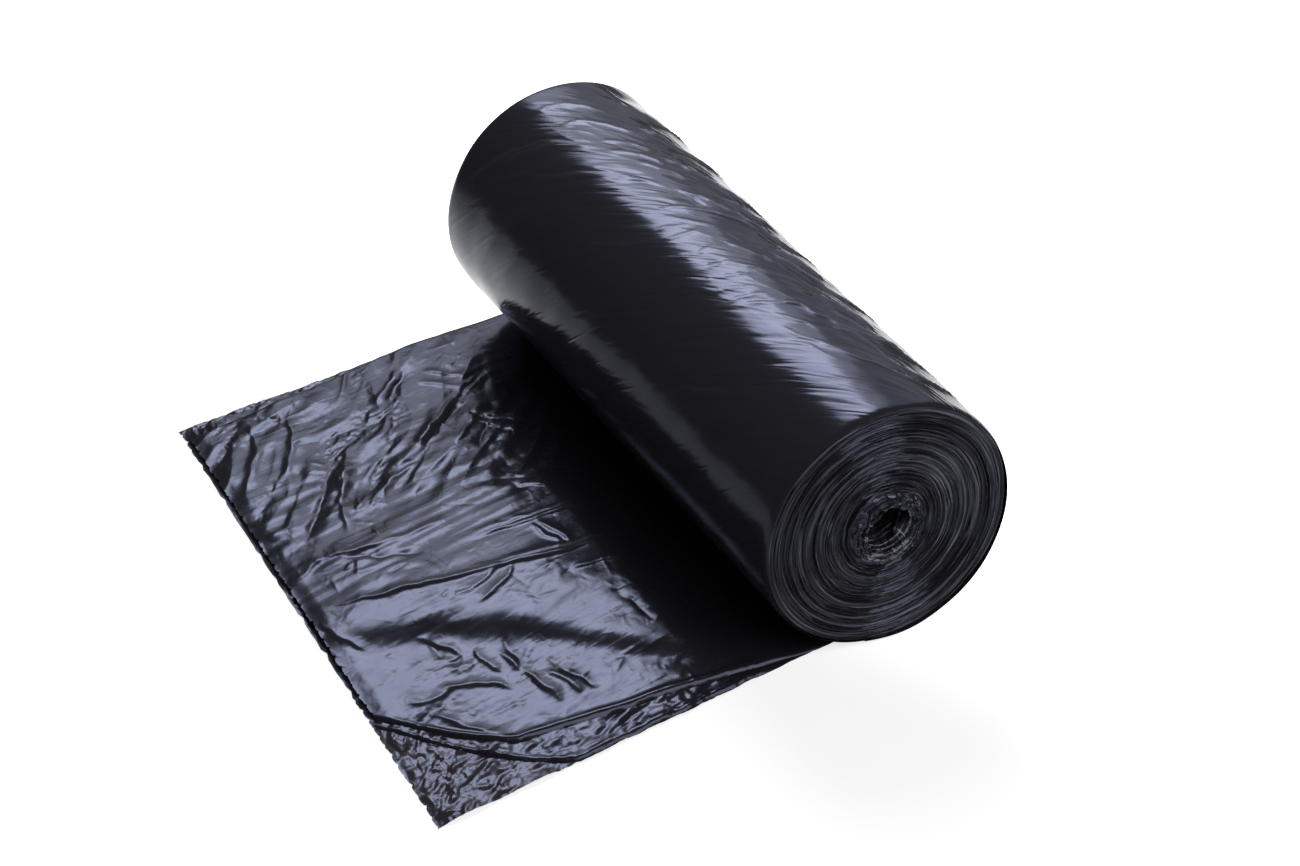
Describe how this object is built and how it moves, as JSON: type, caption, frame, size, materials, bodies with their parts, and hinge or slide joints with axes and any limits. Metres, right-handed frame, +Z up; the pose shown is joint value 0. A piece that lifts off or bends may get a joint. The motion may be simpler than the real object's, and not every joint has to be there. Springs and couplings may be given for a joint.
{
  "type": "bin bag roll",
  "caption": "Coreless roll of black plastic film bin bags lying on its side, with the first bag partly unrolled as a flat layered tail ending in a perforated torn edge.",
  "frame": {"origin": "on the ground plane, directly under the winding axis, at half the roll's length", "axes": "+Y along the winding axis from the askew near end to the square far end, +Z up, the unrolled tail towards -X"},
  "size_m": [0.2211, 0.2444, 0.0957],
  "materials": {
    "film": "thin glossy black polyethylene film, wrinkled"
  },
  "bodies": {
    "root": {"bag_roll": "film"}
  },
  "joints": []
}
